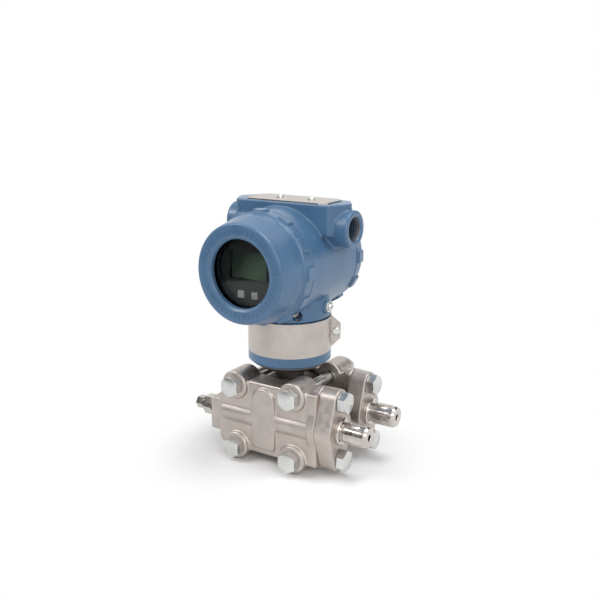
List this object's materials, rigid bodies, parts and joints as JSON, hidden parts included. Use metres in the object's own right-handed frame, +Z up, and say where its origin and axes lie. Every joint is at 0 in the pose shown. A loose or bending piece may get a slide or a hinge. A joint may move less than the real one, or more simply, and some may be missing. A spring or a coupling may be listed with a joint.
{
  "type": "differential pressure transmitter",
  "caption": "Pressure transmitter with a round two-cover housing and window display on a banded neck, over a capsule bolted between flanges with threaded connectors and vent valves.",
  "frame": {"origin": "under the middle of the whole, at the level of the four lower flange bosses that it stands on", "axes": "+X along the process connectors, -Y out of the display window, +Z up the neck"},
  "size_m": [0.1844, 0.1354, 0.2389],
  "materials": {
    "cast_steel": "satin, fine cast and blasted stainless steel",
    "zinc_steel": "satin zinc plate",
    "turned_steel": "turned stainless steel",
    "capsule_steel": "stainless steel darkened by welding, matt",
    "band_steel": "rolled stainless sheet, satin",
    "blue_paint": "semi-gloss enamel over a fine casting",
    "black_rubber": "smooth moulded rubber",
    "window_glass": "clear toughened glass",
    "display_glass": "dark liquid crystal glass",
    "black_plastic": "matt moulded plastic",
    "grey_plastic": "light grey keys",
    "board_green": "solder-masked board",
    "dark_can": "potted electronics can",
    "brass": "plain brass"
  },
  "bodies": {
    "process": {"front_flange": "cast_steel", "rear_flange": "cast_steel", "front_adapter": "cast_steel", "rear_adapter": "cast_steel", "front_adapter_seal": "black_rubber", "rear_adapter_seal": "black_rubber", "front_connector": "turned_steel", "rear_connector": "turned_steel", "front_capsule_seal": "black_rubber", "rear_capsule_seal": "black_rubber", "front_diaphragm": "turned_steel", "rear_diaphragm": "turned_steel", "front_vent_body": "turned_steel", "rear_vent_body": "turned_steel", "sensor_capsule": "capsule_steel", "flange_bolts": "zinc_steel", "flange_nuts": "zinc_steel", "adapter_bolts": "zinc_steel", "sensor_neck": "capsule_steel", "sensor_module": "blue_paint", "sensor_board": "board_green", "sensor_plug": "black_plastic", "name_band": "band_steel", "band_screw": "zinc_steel", "band_nut": "zinc_steel"},
    "housing": {"housing": "blue_paint", "neck_seal": "black_rubber", "rotation_lock_screw": "turned_steel", "ground_cup": "zinc_steel", "ground_screw": "zinc_steel", "top_plate": "band_steel", "plate_screws": "zinc_steel", "display_bezel": "black_plastic", "display_glass": "display_glass", "display_board": "board_green", "display_posts": "brass", "electronics_module": "dark_can", "electronics_screws": "brass", "terminal_block": "black_plastic", "terminal_screws": "brass", "block_screws": "brass", "sensor_cable": "black_rubber"},
    "front_cover_seal": {"front_cover_seal": "black_rubber"},
    "front_cover": {"front_cover": "blue_paint", "window_glass": "window_glass", "window_gasket": "black_rubber", "window_retainer": "black_plastic"},
    "rear_cover_seal": {"rear_cover_seal": "black_rubber"},
    "rear_cover": {"rear_cover": "blue_paint"},
    "display_button_left": {"display_button_left": "grey_plastic"},
    "display_button_right": {"display_button_right": "grey_plastic"},
    "zero_button": {"zero_button": "grey_plastic"},
    "span_button": {"span_button": "grey_plastic"},
    "front_vent_ball": {"front_vent_ball": "turned_steel"},
    "front_vent_stem": {"front_vent_stem": "turned_steel"},
    "rear_vent_ball": {"rear_vent_ball": "turned_steel"},
    "rear_vent_stem": {"rear_vent_stem": "turned_steel"}
  },
  "joints": [
    {"name": "housing_turn", "type": "hinge", "parent": "process", "child": "housing", "pos_m": [-0.00605, 0.01075, 0.134], "axis": [0, 0, 1], "range_deg": [-180, 180]},
    {"name": "front_cover_travel", "type": "slide", "parent": "housing", "child": "front_cover_seal", "axis": [0, -1, 0], "range_m": [0, 0.01]},
    {"name": "front_cover_turn", "type": "hinge", "parent": "front_cover_seal", "child": "front_cover", "pos_m": [-0.00605, -0.02725, 0.184], "axis": [0, -1, 0], "range_deg": [0, 1800]},
    {"name": "rear_cover_travel", "type": "slide", "parent": "housing", "child": "rear_cover_seal", "axis": [0, 1, 0], "range_m": [0, 0.01]},
    {"name": "rear_cover_turn", "type": "hinge", "parent": "rear_cover_seal", "child": "rear_cover", "pos_m": [-0.00605, 0.04875, 0.184], "axis": [0, 1, 0], "range_deg": [0, 1800]},
    {"name": "front_vent_travel", "type": "slide", "parent": "process", "child": "front_vent_ball", "axis": [-1, 0, 0], "range_m": [0, 0.003]},
    {"name": "front_vent_turn", "type": "hinge", "parent": "front_vent_ball", "child": "front_vent_stem", "pos_m": [-0.07605, -0.01625, 0.0392], "axis": [-1, 0, 0], "range_deg": [0, 720]},
    {"name": "rear_vent_travel", "type": "slide", "parent": "process", "child": "rear_vent_ball", "axis": [-1, 0, 0], "range_m": [0, 0.003]},
    {"name": "rear_vent_turn", "type": "hinge", "parent": "rear_vent_ball", "child": "rear_vent_stem", "pos_m": [-0.07605, 0.03775, 0.0392], "axis": [-1, 0, 0], "range_deg": [0, 720]},
    {"name": "display_button_left_press", "type": "slide", "parent": "housing", "child": "display_button_left", "axis": [0, 1, 0], "range_m": [0, 0.0008], "stiffness_N_per_m": 200},
    {"name": "display_button_right_press", "type": "slide", "parent": "housing", "child": "display_button_right", "axis": [0, 1, 0], "range_m": [0, 0.0008], "stiffness_N_per_m": 200},
    {"name": "zero_button_press", "type": "slide", "parent": "housing", "child": "zero_button", "axis": [0, 0, -1], "range_m": [0, 0.002], "stiffness_N_per_m": 200},
    {"name": "span_button_press", "type": "slide", "parent": "housing", "child": "span_button", "axis": [0, 0, -1], "range_m": [0, 0.002], "stiffness_N_per_m": 200}
  ],
  "couplings": [
    {"joint": "front_cover_travel", "follows": "front_cover_turn", "m_per_rad": 0.000318},
    {"joint": "rear_cover_travel", "follows": "rear_cover_turn", "m_per_rad": 0.000318},
    {"joint": "front_vent_turn", "follows": "front_vent_travel", "rad_per_m": 4188},
    {"joint": "rear_vent_turn", "follows": "rear_vent_travel", "rad_per_m": 4188}
  ]
}
